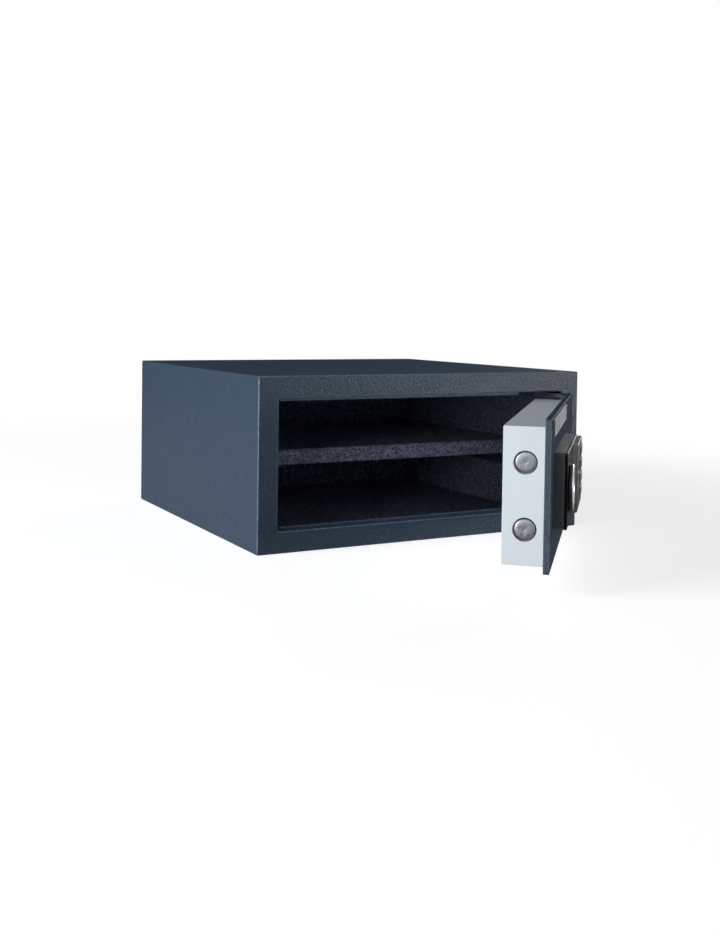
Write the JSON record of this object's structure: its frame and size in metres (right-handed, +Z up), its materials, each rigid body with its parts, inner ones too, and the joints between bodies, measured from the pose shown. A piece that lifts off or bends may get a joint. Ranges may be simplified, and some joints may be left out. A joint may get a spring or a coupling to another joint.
{
  "type": "laptop safe",
  "caption": "Low steel safe for a laptop, with felt-lined inside and shelf, side-hung door on cranked arms, round sliding bolts, turning knob and keypad.",
  "frame": {"origin": "middle of the body's underside", "axes": "+X to the right as seen from the front, +Y into the body, +Z up; the front face lies at the -Y end of the body and the door stands open towards -Y"},
  "size_m": [0.45, 0.7142, 0.2],
  "materials": {
    "body_paint": "pebbled powder coat, satin",
    "frame_paint": "pebbled powder coat, satin",
    "hinge_paint": "smooth paint",
    "door_paint": "pebbled powder coat, satin",
    "box_paint": "smooth pale paint, satin",
    "lining_felt": "short felt",
    "shelf_felt": "short felt",
    "shelf_board": "plain board",
    "zinc": "zinc plated",
    "bolt_steel": "turned steel",
    "bush": "plain bearing metal",
    "coil": "wrapped coil",
    "housing": "fine grained",
    "fascia": "gloss black",
    "bezel": "satin black",
    "window": "dark red tint",
    "lights": "clear lens",
    "board": "circuit board",
    "keys": "soft satin",
    "knob_grip": "satin black",
    "knob_cap": "satin silver",
    "badge": "satin silver",
    "barrel": "satin",
    "core": "satin",
    "tray": "black moulding",
    "cells": "plain sleeve",
    "cover": "pale moulding",
    "reset": "red"
  },
  "bodies": {
    "cabinet": {"shell_wrap": "body_paint", "back_panel": "body_paint", "front_frame": "frame_paint", "door_stops": "frame_paint", "hinge_lugs": "hinge_paint", "hinge_bushes": "bush", "lining_floor": "lining_felt", "lining_left": "lining_felt", "lining_right": "lining_felt", "lining_back": "lining_felt", "lining_top": "lining_felt", "shelf_board": "shelf_board", "shelf_felt": "shelf_felt", "shelf_ledges": "hinge_paint", "shelf_screws": "zinc"},
    "door": {"door_plate": "door_paint", "hinge_arms": "hinge_paint", "hinge_pins": "zinc", "door_box": "box_paint", "box_posts": "zinc", "box_screws": "zinc", "bolt_guide": "zinc", "guide_posts": "zinc", "solenoid": "coil", "module_housing": "housing", "module_fascia": "fascia", "module_screws": "zinc", "keypad_bezel": "bezel", "display_window": "window", "status_lights": "lights", "circuit_board": "board", "battery_tray": "tray", "batteries": "cells", "reset_switch": "tray", "badge_plate": "badge", "keyhole_barrel": "barrel"},
    "knob": {"knob_grip": "knob_grip", "knob_cap": "knob_cap", "knob_spindle": "zinc", "drive_cam": "zinc"},
    "bolts": {"live_bolts": "bolt_steel", "bolt_carriage": "zinc"},
    "plunger": {"solenoid_plunger": "zinc", "plunger_spring": "zinc"},
    "key_core": {"keyhole_core": "core"},
    "key_cap": {"keyhole_cap": "housing"},
    "battery_lid": {"battery_cover": "cover"},
    "reset": {"reset_button": "reset"},
    "key_1": {"key_1": "keys"},
    "key_2": {"key_2": "keys"},
    "key_3": {"key_3": "keys"},
    "key_4": {"key_4": "keys"},
    "key_5": {"key_5": "keys"},
    "key_6": {"key_6": "keys"},
    "key_7": {"key_7": "keys"},
    "key_8": {"key_8": "keys"},
    "key_9": {"key_9": "keys"},
    "key_a": {"key_a": "keys"},
    "key_0": {"key_0": "keys"},
    "key_b": {"key_b": "keys"}
  },
  "joints": [
    {"name": "door_swing", "type": "hinge", "parent": "cabinet", "child": "door", "pos_m": [0.213, -0.1975, 0.1], "axis": [0, 0, 1], "range_deg": [-47.3, 42.7]},
    {"name": "knob_turn", "type": "hinge", "parent": "door", "child": "knob", "pos_m": [0.00232, -0.46709, 0.1], "axis": [0.7349, -0.6782, 0], "range_deg": [0, 90]},
    {"name": "bolt_slide", "type": "slide", "parent": "door", "child": "bolts", "axis": [-0.6782, -0.7349, 0], "range_m": [0, 0.018]},
    {"name": "plunger_lift", "type": "slide", "parent": "door", "child": "plunger", "axis": [0, 0, 1], "range_m": [0, 0.003], "stiffness_N_per_m": 150, "springref_m": -0.004, "deforming": ["plunger_spring"]},
    {"name": "key_core_turn", "type": "hinge", "parent": "door", "child": "key_core", "pos_m": [0.02431, -0.43295, 0.1], "axis": [0.7349, -0.6782, 0], "range_deg": [0, 90]},
    {"name": "key_cap_pull", "type": "slide", "parent": "door", "child": "key_cap", "axis": [0.7349, -0.6782, 0], "range_m": [0, 0.01]},
    {"name": "battery_lid_pull", "type": "slide", "parent": "door", "child": "battery_lid", "axis": [-0.7349, 0.6782, 0], "range_m": [0, 0.02]},
    {"name": "reset_press", "type": "slide", "parent": "door", "child": "reset", "axis": [0.7349, -0.6782, 0], "range_m": [0, 0.0012], "stiffness_N_per_m": 500, "springref_m": -0.0004},
    {"name": "key_1_press", "type": "slide", "parent": "door", "child": "key_1", "axis": [-0.7349, 0.6782, 0], "range_m": [0, 0.0008], "stiffness_N_per_m": 600, "springref_m": -0.0004},
    {"name": "key_2_press", "type": "slide", "parent": "door", "child": "key_2", "axis": [-0.7349, 0.6782, 0], "range_m": [0, 0.0008], "stiffness_N_per_m": 600, "springref_m": -0.0004},
    {"name": "key_3_press", "type": "slide", "parent": "door", "child": "key_3", "axis": [-0.7349, 0.6782, 0], "range_m": [0, 0.0008], "stiffness_N_per_m": 600, "springref_m": -0.0004},
    {"name": "key_4_press", "type": "slide", "parent": "door", "child": "key_4", "axis": [-0.7349, 0.6782, 0], "range_m": [0, 0.0008], "stiffness_N_per_m": 600, "springref_m": -0.0004},
    {"name": "key_5_press", "type": "slide", "parent": "door", "child": "key_5", "axis": [-0.7349, 0.6782, 0], "range_m": [0, 0.0008], "stiffness_N_per_m": 600, "springref_m": -0.0004},
    {"name": "key_6_press", "type": "slide", "parent": "door", "child": "key_6", "axis": [-0.7349, 0.6782, 0], "range_m": [0, 0.0008], "stiffness_N_per_m": 600, "springref_m": -0.0004},
    {"name": "key_7_press", "type": "slide", "parent": "door", "child": "key_7", "axis": [-0.7349, 0.6782, 0], "range_m": [0, 0.0008], "stiffness_N_per_m": 600, "springref_m": -0.0004},
    {"name": "key_8_press", "type": "slide", "parent": "door", "child": "key_8", "axis": [-0.7349, 0.6782, 0], "range_m": [0, 0.0008], "stiffness_N_per_m": 600, "springref_m": -0.0004},
    {"name": "key_9_press", "type": "slide", "parent": "door", "child": "key_9", "axis": [-0.7349, 0.6782, 0], "range_m": [0, 0.0008], "stiffness_N_per_m": 600, "springref_m": -0.0004},
    {"name": "key_a_press", "type": "slide", "parent": "door", "child": "key_a", "axis": [-0.7349, 0.6782, 0], "range_m": [0, 0.0008], "stiffness_N_per_m": 600, "springref_m": -0.0004},
    {"name": "key_0_press", "type": "slide", "parent": "door", "child": "key_0", "axis": [-0.7349, 0.6782, 0], "range_m": [0, 0.0008], "stiffness_N_per_m": 600, "springref_m": -0.0004},
    {"name": "key_b_press", "type": "slide", "parent": "door", "child": "key_b", "axis": [-0.7349, 0.6782, 0], "range_m": [0, 0.0008], "stiffness_N_per_m": 600, "springref_m": -0.0004}
  ],
  "couplings": [
    {"joint": "knob_turn", "follows": "bolt_slide", "rad_per_m": 87.266}
  ]
}
